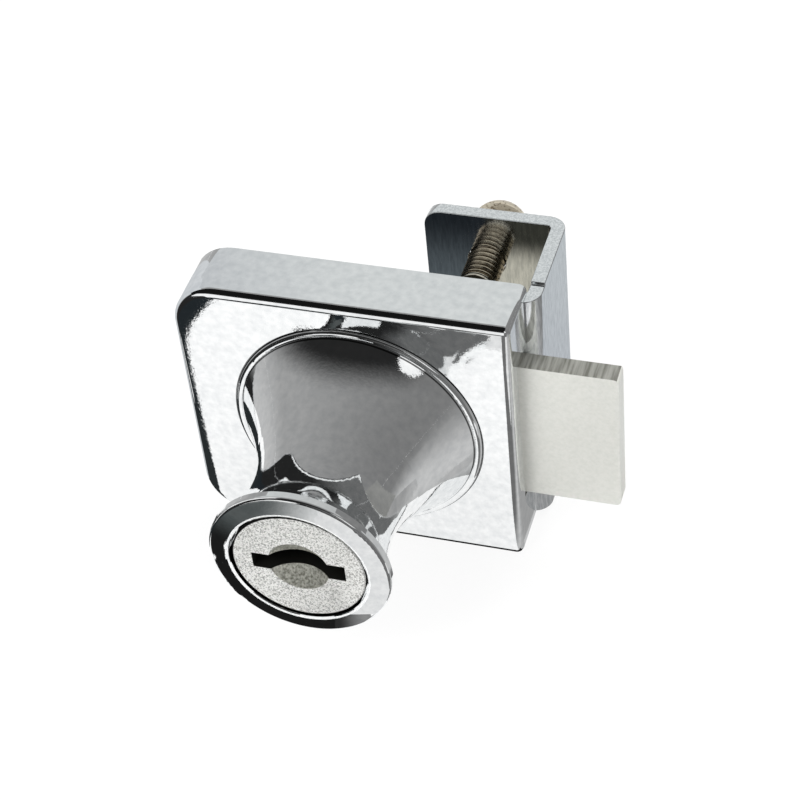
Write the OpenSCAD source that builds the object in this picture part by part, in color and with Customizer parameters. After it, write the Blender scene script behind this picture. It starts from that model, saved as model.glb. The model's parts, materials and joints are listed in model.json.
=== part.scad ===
// Clamp-on lock for a glass cabinet door, closed, with its bolt out.
// +X is the way the bolt goes, -Y is the front with the knob, +Z is up, millimetres.
// The origin is on the plug's axis, in the plane where the glass rests on the pad.

/* [Case] */
// width of the cast case
case_w = 36; // [30:0.5:48]
// height of the cast case
case_h = 32.4; // [30:0.2:44]
// depth of the cast case without the knob
case_d = 7.2; // [6.8:0.1:10]
// plug axis to the side where the bolt leaves
axis_to_side = 17; // [15:0.5:22]
// rounding of the two corners away from the bolt
corner_r = 5; // [2:0.5:8]
// rounding of the front edges and of the two corners at the bolt
edge_r = 0.8; // [0.3:0.1:1.5]
// rim of the case around the front leg of the bracket
rim_t = 1.05; // [0.8:0.05:1.3]

/* [Knob] */
// knob height from the case to its front face
knob_h = 20.4; // [19:0.2:26]
// radius of the knob where it meets the case
horn_r = 13; // [12:0.1:14]
// rounding of the bead around the foot of the knob
bead_r = 0.45; // [0.2:0.05:0.7]
// radius of the waist
waist_r = 7.65; // [7.4:0.05:8.5]
// height of the waist above the case
waist_h = 12.5; // [11:0.1:14]
// hollow rounding of the knob's waist
hollow_r = 13; // [11:0.5:16]
// flatter hollow rounding of the knob's foot
foot_r = 32; // [28:1:40]
// radius of the front flange
flange_r = 9.45; // [9:0.05:11]
// thickness of the flange rim
flange_t = 1.3; // [0.8:0.1:2]
// rounding of the front edge of the flange
flange_edge = 0.4; // [0.2:0.05:0.6]
// fall of the flange's front ring toward its edge
flange_fall = 0.3; // [0.1:0.05:0.5]
// width of the sloped lip around the plug's head
lip_w = 0.3; // [0.1:0.05:0.5]
// depth of that lip
lip_d = 0.15; // [0.05:0.05:0.3]

/* [Plug] */
// radius of the plug's head
head_r = 6.95; // [6.7:0.05:7.2]
// thickness of the plug's head
head_t = 2; // [1.8:0.1:3]
// slope on the edge of the plug's face
head_edge = 0.15; // [0.05:0.05:0.3]
// room around the plug's head
head_gap = 0.22; // [0.1:0.02:0.3]
// depth of the plug's face below the flange
head_sink = 0.25; // [0:0.05:0.6]
// radius of the plug's barrel
barrel_r = 6; // [5.8:0.05:6.2]
// radius of the dish in the face
dish_r = 3.2; // [2:0.1:3.6]
// depth of the dish
dish_d = 1.5; // [0.5:0.1:1.6]
// wall of the barrel beside the keyway
key_wall = 1.15; // [1:0.05:1.6]
// thickness of the keyway
key_t = 2; // [1.2:0.1:2.2]
// depth of the keyway from the face
key_l = 17; // [16:0.5:19]
// distance of the crank pin from the plug's axis, half the bolt's stroke
crank_e = 4.9; // [4.4:0.05:4.9]
// radius of the crank pin
crank_r = 1.05; // [0.8:0.05:1.1]
// thickness of the clip behind the case's front wall
clip_t = 0.5; // [0.4:0.05:0.6]
// outer radius of the clip
clip_r = 7; // [6.6:0.1:7.4]
// depth of the clip's groove in the plug
clip_groove = 0.8; // [0.5:0.1:1]
// opening of the clip
clip_mouth = 4.4; // [3:0.2:6]

/* [Wafers] */
// thickness of one wafer
wafer_t = 0.9; // [0.6:0.05:1]
// distance from wafer to wafer
wafer_pitch = 2.6; // [2.4:0.1:2.7]
// first wafer behind the plug's face
wafer_first = 3.8; // [3.4:0.1:4.4]
// reach of a wafer above and below the axis
wafer_z = 3; // [2.6:0.1:3.2]
// sideways place of each wafer's window
bitting = [0.35, -0.3, 0.1, 0.4, -0.2];
// radius of a wafer spring
coil_r = 0.5; // [0.4:0.05:0.6]
// side of a wafer's tab, where its spring pushes
tab_x = 1.4; // [1:0.1:1.8]
// width of the tab
tab_w = 1; // [0.6:0.1:1.2]
// half the length of a spring's pocket
pocket_x = 3; // [2.8:0.1:3.2]
// depth of the grooves in the bore, where wafers lock
groove_d = 0.75; // [0.5:0.05:0.9]
// turns of a wafer spring
coil_turns = 5; // [3:1:8]
// wire radius of a wafer spring
coil_wire = 0.12; // [0.08:0.01:0.15]

/* [Bolt] */
// thickness of the bolt
bolt_t = 2.9; // [2.4:0.1:3.2]
// height of the bolt
bolt_h = 18; // [16:0.2:20]
// length of bolt that stands out of the case
bolt_out = 10.25; // [8:0.1:14]
// bolt behind the drive slot
bolt_tail = 2.6; // [2:0.1:4]
// rounding of the bolt's corners
bolt_corner = 0.6; // [0.2:0.1:2]
// slope on the back edges of the bolt, which leads it into the strike
bolt_slope = 0.65; // [0.3:0.05:1]

/* [Bracket] */
// thickness of the sheet
sheet_t = 1.5; // [1.2:0.1:1.8]
// step on the top and bottom edge where the leg turns into the wider web
web_step = 0.3; // [0.1:0.05:0.5]
// room for the glass between the pad and the rear leg
glass_gap = 9.5; // [7:0.1:14]
// length of the rear leg from the outside of the web
rear_l = 15.4; // [12:0.2:24]
// inside rounding of the bends
bend_r = 0.5; // [0.3:0.1:1]
// corner rounding of the rear leg
rear_corner = 2; // [0.5:0.1:4]
// thickness of the glass pad
pad_t = 1; // [0.5:0.1:2]
// glass pad in from the edges of the front leg
pad_edge = 0.8; // [0.5:0.1:2]

/* [Screws] */
// radius of the clamp screws over the thread
clamp_r = 1.98; // [1.5:0.02:2.5]
// length of a clamp screw under its head
clamp_l = 10; // [8:0.5:14]
// clamp screws in from the top and the bottom of the rear leg
clamp_in = 5.9; // [4.5:0.1:7.5]
// clamp screws to the side of the axis
clamp_x = 9.8; // [8:0.1:12]
// head radius of the clamp screws
clamp_head_r = 3.1; // [2.6:0.1:3.6]
// head height of the clamp screws
clamp_head_h = 2.4; // [1.8:0.1:3]
// room left for the glass with the screws as they stand
glass_t = 4.7; // [4.2:0.1:6]
// thickness of a swivel tip's face
tip_t = 0.8; // [0.5:0.1:1.2]
// radius of a swivel tip's stem
stem_r = 0.9; // [0.6:0.05:1.1]
// shank radius of the cover screws
cover_r = 1.2; // [0.9:0.05:1.4]
// head radius of the cover screws
cover_head_r = 2.2; // [1.8:0.05:2.4]
// length of the cover screws
cover_l = 5.4; // [4:0.1:5.6]
// cover screws in from the edges of the front leg
cover_in = 3.3; // [2.8:0.1:4.5]
// length of the arms of the cross recess in a clamp screw
recess_l = 3.2; // [2.4:0.1:4]
// width of the arms of the cross recess
recess_w = 0.8; // [0.5:0.1:1]
// depth of the cross recess
recess_d = 1.5; // [1:0.1:1.8]
// width of the arms of the cross recess in a cover screw
cover_slot_w = 0.5; // [0.4:0.1:0.8]
// depth of that recess
cover_slot_d = 0.7; // [0.4:0.1:1]
// length of a swivel tip's stem
stem_l = 1.7; // [1:0.1:3]

/* [Fits] */
// running clearance of turning pieces, on the radius
run_fit = 0.05; // [0.02:0.01:0.08]
// sliding clearance of the bolt on each side
slide_fit = 0.08; // [0.05:0.01:0.15]
// clearance of pieces that are fixed in a pocket
pocket_fit = 0.05; // [0.03:0.01:0.1]
// free room between pieces that pass each other
free_gap = 0.25; // [0.2:0.05:0.4]

/* [Hidden] */
$fn = 96;
eps = 0.01;
foot_h = 0.1;
case_x0 = axis_to_side - case_w;
case_back = -pad_t;
leg_h = case_h - 2 * rim_t - 2 * pocket_fit;
web_h = leg_h + 2 * web_step;
leg_x = case_x0 + 1.5 * rim_t + pocket_fit;
leg_r = corner_r - rim_t;
case_front = case_back - case_d;
leg_front = case_back - sheet_t;
bolt_back = leg_front - pocket_fit;
bolt_front = bolt_back - bolt_t;
channel_front = bolt_front - 1.8 * free_gap;
clip_back = channel_front - free_gap;
clip_front = clip_back - clip_t;
clip_seat = clip_front - pocket_fit;
plug_back = bolt_front - free_gap;
knob_face = case_front - knob_h;
head_bore = head_r + head_gap;
waist_mid = [waist_r + hollow_r, waist_h];
// The foot's circle goes through the foot's edge and touches the waist's circle, which it holds.
foot_way = waist_mid - [horn_r, foot_h];
swell = foot_r - hollow_r;
foot_turn = atan2(foot_way.y, foot_way.x)
    - acos((foot_r * foot_r - foot_way * foot_way - swell * swell) / (2 * swell * norm(foot_way)));
foot_mid = waist_mid + swell * [cos(foot_turn), sin(foot_turn)];
foot_top = waist_h - hollow_r * sin(foot_turn);
plug_face = knob_face + head_sink;
plug_l = plug_back - plug_face;
key_w = 2 * (barrel_r - key_wall);
// The bolt keeps pace with the key's turn; a pin on a circle runs ahead of it by this share.
lost_motion = 0.2105 * crank_e;
slot_w = crank_r + lost_motion + slide_fit;
slot_z = crank_e + crank_r + slide_fit;
stroke = 2 * crank_e;
bolt_x1 = axis_to_side + bolt_out;
bolt_x0 = crank_e - slot_w - bolt_tail;
wafer_len = barrel_r - 2 * run_fit;
wafer_count = len(bitting);
window_w = key_w - key_wall;
spring_z = -wafer_z - coil_r - coil_wire - free_gap;
pocket_r = coil_r + coil_wire + slide_fit;
bend_out = bend_r + sheet_t;
web_in = axis_to_side + pocket_fit;
web_out = web_in + sheet_t;
clamp_z = web_h / 2 - clamp_in;
rear_in = glass_gap;
rear_out = rear_in + sheet_t;
tip_face = glass_t;
screw_end = tip_face + tip_t + pocket_fit;
screw_head = screw_end + clamp_l;
step_y = 1;
cover_x = [leg_x + 1.35 * cover_in, web_out - rear_l - 1.3 * cover_in];
cover_z = leg_h / 2 - cover_in;
steel = "silver";
chrome = "gainsboro";

// Draws along -Y from a plane: 2D x stays X, 2D y becomes Z.
module forward(y) {
    translate([0, y, 0]) rotate([90, 0, 0]) children();
}

// Draws along +Y from a plane.
module backward(y) {
    translate([0, y, 0]) rotate([-90, 0, 0]) children();
}

// Section of the case's border, w wide, with its front edge rounded.
module edge_section(w) {
    intersection() {
        union() {
            square([w, case_d - edge_r]);
            translate([w - edge_r, case_d - edge_r]) circle(edge_r);
            if (w > edge_r) square([w - edge_r, case_d]);
        }
        square([w, case_d]);
    }
}

// The case's block, put together from its middle, its four borders and its four corners.
module case_block() {
    w = case_w - corner_r - edge_r;
    z0 = case_h / 2 - corner_r;
    z1 = case_h / 2 - edge_r;
    translate([case_x0 + corner_r, 0, 0]) {
        translate([0, -z0, 0]) cube([w, 2 * z0, case_d]);
        translate([w, z1, 0]) rotate([90, 0, 0]) linear_extrude(2 * z1) edge_section(edge_r);
        translate([0, z0, 0]) mirror([1, 0, 0]) rotate([90, 0, 0])
            linear_extrude(2 * z0) edge_section(corner_r);
        for (s = [0, 1]) mirror([0, s, 0]) {
            translate([0, z0, 0]) rotate([90, 0, 90]) linear_extrude(w) edge_section(corner_r);
            translate([0, z0, 0]) rotate([0, 0, 90]) rotate_extrude(angle = 90) edge_section(corner_r);
            translate([w, z1, 0]) rotate_extrude(angle = 90) edge_section(edge_r);
        }
    }
}

// Half section of the knob: a flared foot that runs smoothly into a hollow waist, and a thin flange.
module knob_section() {
    flange_h = knob_h - flange_t;
    edge_h = knob_h - flange_fall - flange_edge;
    difference() {
        union() {
            polygon([[0, -edge_r], [horn_r, -edge_r], [horn_r, foot_h], [flange_r, flange_h],
                [flange_r, edge_h], [flange_r - flange_edge, edge_h + flange_edge],
                [head_bore, knob_h], [0, knob_h]]);
            translate([flange_r - flange_edge, edge_h]) circle(flange_edge);
        }
        translate(waist_mid) circle(hollow_r);
        intersection() {
            translate(foot_mid) circle(foot_r);
            translate([0, foot_h]) square([foot_mid.x, foot_top - foot_h]);
        }
    }
    translate([horn_r, 0]) circle(bead_r);
}

// One die casting: case, knob, bore for the plug, channel for the bolt, seat for the bracket.
module lock_case() {
    color(chrome) difference() {
        union() {
            forward(case_back) case_block();
            forward(case_front) rotate_extrude() knob_section();
        }
        forward(case_back + 1) cylinder(r = barrel_r + run_fit, h = case_d + knob_h + 2);
        forward(plug_face + head_t + pocket_fit) cylinder(r = head_bore, h = head_t + 2);
        forward(knob_face + lip_d) cylinder(r1 = head_bore, r2 = head_bore + 2 * lip_w, h = 2 * lip_d);
        forward(channel_front + eps) cylinder(r = clip_r + free_gap, h = channel_front - clip_seat + eps);
        wafer_grooves();
        bolt_room();
        leg_seat();
        for (x = cover_x, s = [-1, 1]) translate([x, 0, s * cover_z])
            forward(leg_front + 1) cylinder(r = cover_r + pocket_fit, h = cover_l - sheet_t + 1.3);
    }
}

// Two grooves in the bore, where wafers stand out when no key holds them back.
module wafer_grooves() {
    l = wafer_pitch * wafer_count;
    forward(wafer_y(wafer_count - 1) + wafer_pitch / 2) intersection() {
        cylinder(r = barrel_r + groove_d, h = l);
        translate([-2 * barrel_r, -wafer_z - free_gap, 0])
            cube([4 * barrel_r, 2 * (wafer_z + free_gap), l]);
    }
}

// Channel for the bolt, with a slightly wider mouth in the side of the case.
module bolt_room() {
    z = bolt_h / 2 + slide_fit;
    x0 = bolt_x0 - stroke - 2 * free_gap;
    x1 = axis_to_side - 2 * rim_t;
    depth = leg_front - channel_front + eps;
    translate([x0, channel_front, -z]) cube([x1 - x0 + eps, depth, 2 * z]);
    translate([x1, channel_front, -z - free_gap]) cube([case_w, depth, 2 * (z + free_gap)]);
}

// Shallow seat for the bracket's front leg, open toward the bolt's side.
module leg_seat() {
    z = leg_h / 2 + pocket_fit;
    x0 = leg_x - pocket_fit;
    forward(case_back + 1) linear_extrude(sheet_t + 1) {
        translate([x0 + leg_r, -z]) square([case_w, 2 * z]);
        translate([x0, -z + leg_r]) square([2 * leg_r, 2 * (z - leg_r)]);
        for (s = [-1, 1]) translate([x0 + leg_r, s * (z - leg_r)]) circle(leg_r);
    }
}

// Place of a wafer along the plug.
function wafer_y(i) = plug_face + wafer_first + wafer_pitch * i;

// The plug: head with a dish and the keyway, barrel with wafer slots, clip groove and crank pin.
module lock_plug() {
    dish_ball = (dish_r * dish_r + dish_d * dish_d) / (2 * dish_d);
    slot_t = wafer_t + 2 * pocket_fit;
    color(steel) difference() {
        union() {
            forward(plug_face + head_t) rotate_extrude() polygon([[0, 0], [head_r, 0],
                [head_r, head_t - head_edge], [head_r - head_edge, head_t], [0, head_t]]);
            forward(plug_back) cylinder(r = barrel_r, h = plug_l - 1);
            translate([crank_e, 0, 0]) forward(leg_front - free_gap)
                cylinder(r = crank_r, h = leg_front - free_gap - plug_back + 1);
        }
        translate([0, plug_face + dish_d - dish_ball, 0]) sphere(dish_ball);
        translate([-key_w / 2, plug_face - 1, -key_t / 2]) cube([key_w, key_l + 1, key_t]);
        for (i = [0 : wafer_count - 1]) {
            translate([-barrel_r - 1, wafer_y(i) - slot_t / 2, -wafer_z - pocket_fit])
                cube([2 * barrel_r + 2, slot_t, 2 * (wafer_z + pocket_fit)]);
            translate([-pocket_x, wafer_y(i), spring_z]) rotate([0, 90, 0])
                cylinder(r = pocket_r, h = 2 * pocket_x);
            translate([-pocket_x, wafer_y(i) - slot_t / 2, spring_z])
                cube([2 * pocket_x, slot_t, -wafer_z - spring_z]);
        }
        forward(clip_back + pocket_fit) difference() {
            cylinder(r = barrel_r + 1, h = clip_t + 2 * pocket_fit);
            translate([0, 0, -1]) cylinder(r = barrel_r - clip_groove, h = clip_t + 2);
        }
    }
}

// One wafer: a plate with round ends, a window for the key and a tab for its spring.
module wafer(i) {
    color("goldenrod") translate([0, wafer_y(i) + wafer_t / 2, 0]) rotate([90, 0, 0]) {
        linear_extrude(wafer_t) difference() {
            intersection() {
                circle(wafer_len);
                translate([-wafer_len, -wafer_z]) square([2 * wafer_len, 2 * wafer_z]);
            }
            translate([bitting[i] - window_w / 2, -key_t / 2 - free_gap])
                square([window_w, key_t + 2 * free_gap]);
        }
        translate([tab_x, spring_z - coil_r, 0])
            cube([tab_w, coil_r - wafer_z - spring_z + eps, wafer_t]);
    }
}

// Points of one turn of wire around a coil.
function ring_at(a, x) = [for (k = [0 : 5]) let (r = coil_r + coil_wire * cos(k * 60))
    [x + coil_wire * sin(k * 60), r * cos(a), r * sin(a)]];

// A coil spring along X, its wire closed at both ends.
module coil(x0, x1, turns) {
    steps = turns * 12;
    points = [for (j = [0 : steps]) each ring_at(j * 30, x0 + (x1 - x0) * j / steps)];
    sides = [for (j = [0 : steps - 1], k = [0 : 5])
        [j * 6 + k, j * 6 + (k + 1) % 6, j * 6 + 6 + (k + 1) % 6, j * 6 + 6 + k]];
    ends = [[5, 4, 3, 2, 1, 0], [for (k = [0 : 5]) steps * 6 + k]];
    polyhedron(points, concat(sides, ends));
}

// The spring behind a wafer's tab.
module wafer_spring(i) {
    color("dimgray") translate([0, wafer_y(i), spring_z])
        coil(-pocket_x + coil_wire + pocket_fit, tab_x - coil_wire - pocket_fit, coil_turns);
}

// Open spring ring in the plug's groove, behind the case's front wall.
module plug_clip() {
    color(steel) forward(clip_back) linear_extrude(clip_t) difference() {
        circle(clip_r);
        circle(barrel_r - clip_groove + pocket_fit);
        translate([-clip_mouth / 2, -2 * clip_r]) square([clip_mouth, 2 * clip_r]);
    }
}

// The bolt: a flat plate with an upright slot for the crank pin, its back edges sloped.
module dead_bolt() {
    z = bolt_h / 2;
    r = bolt_corner;
    c = bolt_slope;
    color("lightgray") difference() {
        forward(bolt_back) linear_extrude(bolt_t) difference() {
            union() {
                translate([bolt_x0, -z]) square([bolt_x1 - bolt_x0 - r, 2 * z]);
                translate([bolt_x1 - r - eps, r - z]) square([r + eps, 2 * (z - r)]);
                for (s = [-1, 1]) translate([bolt_x1 - r, s * (z - r)]) circle(r);
            }
            translate([crank_e - slot_w, slot_w - slot_z])
                square([2 * slot_w, 2 * (slot_z - slot_w)]);
            for (s = [-1, 1]) translate([crank_e, s * (slot_z - slot_w)]) circle(slot_w);
        }
        translate([bolt_x1, bolt_back, -z - 1]) linear_extrude(2 * z + 2)
            polygon([[-c, 0], [1, -c - 1], [1, 1], [-c, 1]]);
        for (s = [0, 1]) mirror([0, 0, s]) translate([bolt_x0 - 1, bolt_back, z])
            rotate([90, 0, 90]) linear_extrude(bolt_x1 - bolt_x0 + 2)
                polygon([[0, -c], [1, -c], [1, 1], [-c - 1, 1]]);
    }
}

// A quarter bend of sheet in plan, from the web around to a leg.
module bend_plan(x, y, sx, sy) {
    translate([x, y]) intersection() {
        difference() {
            circle(bend_out);
            circle(bend_r);
        }
        translate([sx > 0 ? 0 : -bend_out, sy > 0 ? 0 : -bend_out]) square(bend_out);
    }
}

// The bent strip: leg in the case, web past the edge of the glass, rear leg with two tapped holes.
module clamp_bracket() {
    bx = web_in - bend_r;
    front_y = case_back + bend_r;
    rear_y = rear_in - bend_r;
    rear_x = web_out - rear_l;
    z = leg_h / 2;
    w = web_h / 2;
    color(chrome) difference() {
        union() {
            forward(case_back) linear_extrude(sheet_t) {
                translate([leg_x + leg_r, -z]) square([bx - leg_x - leg_r, leg_h]);
                translate([leg_x, leg_r - z]) square([2 * leg_r, leg_h - 2 * leg_r]);
                for (s = [-1, 1]) translate([leg_x + leg_r, s * (z - leg_r)]) circle(leg_r);
            }
            translate([0, 0, -z]) linear_extrude(leg_h) {
                bend_plan(bx, front_y, 1, -1);
                translate([web_in, front_y - eps]) square([sheet_t, step_y + eps]);
            }
            translate([0, 0, -w]) linear_extrude(web_h) {
                translate([web_in, front_y + step_y]) square([sheet_t, rear_y - front_y - step_y]);
                bend_plan(bx, rear_y, 1, 1);
            }
            backward(rear_in) linear_extrude(sheet_t) {
                translate([rear_x + rear_corner, -w]) square([bx - rear_x - rear_corner, web_h]);
                translate([rear_x, rear_corner - w]) square([rear_corner + 1, web_h - 2 * rear_corner]);
                for (s = [-1, 1])
                    translate([rear_x + rear_corner, s * (w - rear_corner)]) circle(rear_corner);
            }
        }
        for (s = [-1, 1]) translate([clamp_x, 0, s * clamp_z])
            backward(rear_in - 1) cylinder(r = clamp_r + run_fit, h = sheet_t + 2);
        for (x = cover_x, s = [-1, 1]) translate([x, 0, s * cover_z]) {
            forward(case_back + 1) cylinder(r = cover_r + pocket_fit, h = sheet_t + 2);
            forward(case_back) cylinder(r1 = cover_head_r + pocket_fit, r2 = cover_r + pocket_fit,
                h = cover_head_r - cover_r);
        }
    }
}

// Cross recess in a screw's head, cut from its top, with arms l long and w wide.
module cross_recess(top, l, w, d) {
    for (a = [0, 90]) rotate([0, a, 0]) translate([-l / 2, top - d, -w / 2]) cube([l, 2 * d, w]);
}

// Countersunk screw of the bracket's front leg, its head flush with the sheet.
module cover_screw(x, z) {
    cone_h = cover_head_r - cover_r;
    color(steel) translate([x, 0, z]) difference() {
        union() {
            forward(case_back - pocket_fit) cylinder(r1 = cover_head_r, r2 = cover_r, h = cone_h);
            forward(case_back - pocket_fit - cone_h + eps) cylinder(r = cover_r, h = cover_l - cone_h);
        }
        cross_recess(case_back - pocket_fit, 2 * cover_r, cover_slot_w, cover_slot_d);
    }
}

// Rubber sheet between the bracket's front leg and the glass.
module glass_pad() {
    x0 = leg_x + pad_edge;
    w = axis_to_side - 2.5 * pad_edge - x0;
    z = leg_h / 2 - pad_edge;
    r = leg_r - pad_edge;
    color("dimgray") forward(0) linear_extrude(pad_t) {
        translate([x0 + r, -z]) square([w - 2 * r, 2 * z]);
        translate([x0, r - z]) square([w, 2 * (z - r)]);
        for (x = [x0 + r, x0 + w - r], s = [-1, 1]) translate([x, s * (z - r)]) circle(r);
    }
}

// Clamp screw: shank through the rear leg, domed head with a cross recess, hole for its tip.
module clamp_screw(s) {
    ball = (clamp_head_r * clamp_head_r + clamp_head_h * clamp_head_h) / (2 * clamp_head_h);
    color("tan") translate([clamp_x, 0, s * clamp_z]) difference() {
        union() {
            backward(screw_end) cylinder(r = clamp_r, h = clamp_l + eps);
            intersection() {
                backward(screw_head) cylinder(r = clamp_head_r, h = clamp_head_h);
                translate([0, screw_head + clamp_head_h - ball, 0]) sphere(ball);
            }
        }
        backward(screw_end - tip_t) cylinder(r = stem_r + run_fit, h = tip_t + 1.15 * stem_l);
        cross_recess(screw_head + clamp_head_h, recess_l, recess_w, recess_d);
    }
}

// Swivel tip: a steel disc whose stem sits in the end of the clamp screw.
module screw_tip(s) {
    color("tan") translate([clamp_x, 0, s * clamp_z]) {
        backward(tip_face) cylinder(r = 0.96 * clamp_r, h = tip_t);
        backward(tip_face) cylinder(r = stem_r, h = tip_t + stem_l);
    }
}

lock_case();
lock_plug();
wafer(0);  // wafer_1
wafer(1);  // wafer_2
wafer(2);  // wafer_3
wafer(3);  // wafer_4
wafer(4);  // wafer_5
wafer_spring(0);  // wafer_spring_1
wafer_spring(1);  // wafer_spring_2
wafer_spring(2);  // wafer_spring_3
wafer_spring(3);  // wafer_spring_4
wafer_spring(4);  // wafer_spring_5
plug_clip();
dead_bolt();
clamp_bracket();
cover_screw(cover_x[0], cover_z);  // cover_screw_1
cover_screw(cover_x[0], -cover_z);  // cover_screw_2
cover_screw(cover_x[1], cover_z);  // cover_screw_3
cover_screw(cover_x[1], -cover_z);  // cover_screw_4
glass_pad();
clamp_screw(1);  // clamp_screw_upper
clamp_screw(-1);  // clamp_screw_lower
screw_tip(1);  // screw_tip_upper
screw_tip(-1);  // screw_tip_lower
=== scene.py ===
import bmesh
import bpy
import json
import math
from mathutils import Matrix, Vector


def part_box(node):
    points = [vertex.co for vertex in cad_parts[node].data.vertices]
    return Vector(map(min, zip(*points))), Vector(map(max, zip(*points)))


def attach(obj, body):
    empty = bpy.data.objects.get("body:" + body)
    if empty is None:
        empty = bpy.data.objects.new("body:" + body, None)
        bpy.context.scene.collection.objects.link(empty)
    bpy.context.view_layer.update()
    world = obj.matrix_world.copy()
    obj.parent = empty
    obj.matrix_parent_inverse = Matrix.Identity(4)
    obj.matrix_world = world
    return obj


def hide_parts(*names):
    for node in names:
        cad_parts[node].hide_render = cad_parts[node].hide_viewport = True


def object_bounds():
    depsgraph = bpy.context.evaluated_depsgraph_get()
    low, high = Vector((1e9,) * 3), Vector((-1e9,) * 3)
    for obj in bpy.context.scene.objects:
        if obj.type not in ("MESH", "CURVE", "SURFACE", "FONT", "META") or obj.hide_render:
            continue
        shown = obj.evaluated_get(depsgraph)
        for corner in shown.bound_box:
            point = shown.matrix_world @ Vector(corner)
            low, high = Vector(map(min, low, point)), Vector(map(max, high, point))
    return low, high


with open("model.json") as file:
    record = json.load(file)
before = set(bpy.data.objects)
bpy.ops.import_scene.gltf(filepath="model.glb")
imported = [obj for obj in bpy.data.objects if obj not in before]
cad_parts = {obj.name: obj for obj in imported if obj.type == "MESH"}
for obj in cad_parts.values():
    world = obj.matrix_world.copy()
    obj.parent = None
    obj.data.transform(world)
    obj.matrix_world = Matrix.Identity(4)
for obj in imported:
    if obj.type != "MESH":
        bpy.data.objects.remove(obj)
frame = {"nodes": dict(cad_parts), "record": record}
cad_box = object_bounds()
bpy.ops.object.select_all(action="DESELECT")

# Case and knob: one zinc die casting, polished and plated with bright chrome.
# The plating is mirror-like, but it keeps the fine unevenness of the casting below it,
# which frays the edges of what it reflects.
mm = 0.001
nodes = frame["nodes"]


def colour(hex_code):
    """Linear RGBA of an sRGB hex colour."""
    parts = [int(hex_code[i:i + 2], 16) / 255 for i in (1, 3, 5)]
    return [c / 12.92 if c <= 0.04045 else ((c + 0.055) / 1.055) ** 2.4 for c in parts] + [1]


def add_node(owner, kind, inputs={}, stops=(), **settings):
    """Adds a shader node; an input is a value or the socket that feeds it, and stops colour a ramp."""
    tree = owner.node_tree
    node = tree.nodes.new("ShaderNode" + kind)
    for name, value in settings.items():
        setattr(node, name, value)
    for name, value in inputs.items():
        if isinstance(value, bpy.types.NodeSocket):
            tree.links.new(value, node.inputs[name])
        else:
            node.inputs[name].default_value = value
    for i, (position, hex_code) in enumerate(stops):
        node.color_ramp.elements[i].position = position
        node.color_ramp.elements[i].color = colour(hex_code)
    return node


def new_material(name):
    """A material with no nodes yet."""
    material = bpy.data.materials.new(name)
    material.use_nodes = True
    material.node_tree.nodes.clear()
    return material


def finish_material(material, shader):
    """Plugs the shader into the material's output."""
    add_node(material, "OutputMaterial", {"Surface": shader.outputs[0]})
    return material


def dress(node_name, material):
    """Gives a CAD node its finish."""
    nodes[node_name].data.materials[0] = material


# Bright chrome: a mirror with a faint ripple and clouds. It is rubbed through on the lip around the plug, and
# painted shade darkens the creases on both sides of the bead at the knob's foot.
peel_size = 0.35 * mm
haze_size = 4 * mm
cloud_size = 0.8 * mm
painted_shade_depth = 0.85
lip_bare, lip_rough = 0.75, 0.3
cast_chrome = new_material("cast_chrome")
place = add_node(cast_chrome, "TexCoord").outputs["Object"]
peel = add_node(cast_chrome, "TexNoise", {"Vector": place, "Scale": 1 / peel_size, "Detail": 3})
haze = add_node(cast_chrome, "TexNoise", {"Vector": place, "Scale": 1 / haze_size, "Detail": 4})
polish = add_node(cast_chrome, "MapRange", {
    "Value": haze.outputs["Fac"], "From Min": 0.3, "From Max": 0.75, "To Min": 0.015, "To Max": 0.05})
uneven = add_node(cast_chrome, "Bump", {
    "Height": peel.outputs["Fac"], "Strength": 0.15, "Distance": 0.02 * mm})
cloud = add_node(cast_chrome, "TexNoise", {"Vector": place, "Scale": 1 / cloud_size, "Detail": 6})
tint = add_node(cast_chrome, "ValToRGB", {"Fac": cloud.outputs["Fac"]},
                stops=((0.3, "#E9EBEC"), (0.7, "#FBFCFC")))
level = add_node(cast_chrome, "VectorMath", {0: place, 1: (1, 0, 1)}, operation="MULTIPLY")
off_axis = add_node(cast_chrome, "VectorMath", {0: level.outputs[0]}, operation="LENGTH").outputs["Value"]
place_y = add_node(cast_chrome, "SeparateXYZ", {"Vector": place}).outputs["Y"]


def ring_mask(radius, half_w, y, half_d):
    """1 on a ring about the plug's axis: its radius and place in millimetres, each with a half width."""
    at_radius = add_node(cast_chrome, "Math", {0: off_axis, 1: radius * mm, 2: half_w * mm},
                         operation="COMPARE")
    at_place = add_node(cast_chrome, "Math", {0: place_y, 1: y * mm, 2: half_d * mm}, operation="COMPARE")
    return add_node(cast_chrome, "Math", {0: at_radius.outputs[0], 1: at_place.outputs[0]},
                    operation="MULTIPLY").outputs[0]


worn_lip = ring_mask(radius=7.37, half_w=0.11, y=-28.5, half_d=0.12)
# Painted shade: dark rings in the creases on both sides of the bead at the knob's foot.
outer_crease = ring_mask(radius=13.5, half_w=0.06, y=-8.2, half_d=0.1)
inner_crease = ring_mask(radius=12.66, half_w=0.06, y=-8.6, half_d=0.2)
painted_shade = add_node(cast_chrome, "Math", {0: outer_crease, 1: inner_crease}, operation="MAXIMUM")
unshaded = add_node(cast_chrome, "Math", {0: painted_shade.outputs[0], 1: -painted_shade_depth, 2: 1}, operation="MULTIPLY_ADD")
chrome_tone = add_node(cast_chrome, "VectorMath", {0: tint.outputs["Color"], "Scale": unshaded.outputs[0]},
                       operation="SCALE")
plated = add_node(cast_chrome, "Math", {0: worn_lip, 1: -lip_bare, 2: 1}, operation="MULTIPLY_ADD")
rub = add_node(cast_chrome, "Math", {0: worn_lip, 1: lip_rough, 2: polish.outputs["Result"]},
               operation="MULTIPLY_ADD")
finish_material(cast_chrome, add_node(cast_chrome, "BsdfPrincipled", {
    "Base Color": chrome_tone.outputs["Vector"], "Metallic": plated.outputs[0], "Roughness": rub.outputs[0],
    "Normal": uneven.outputs["Normal"]}))
dress("lock_case", cast_chrome)

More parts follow.
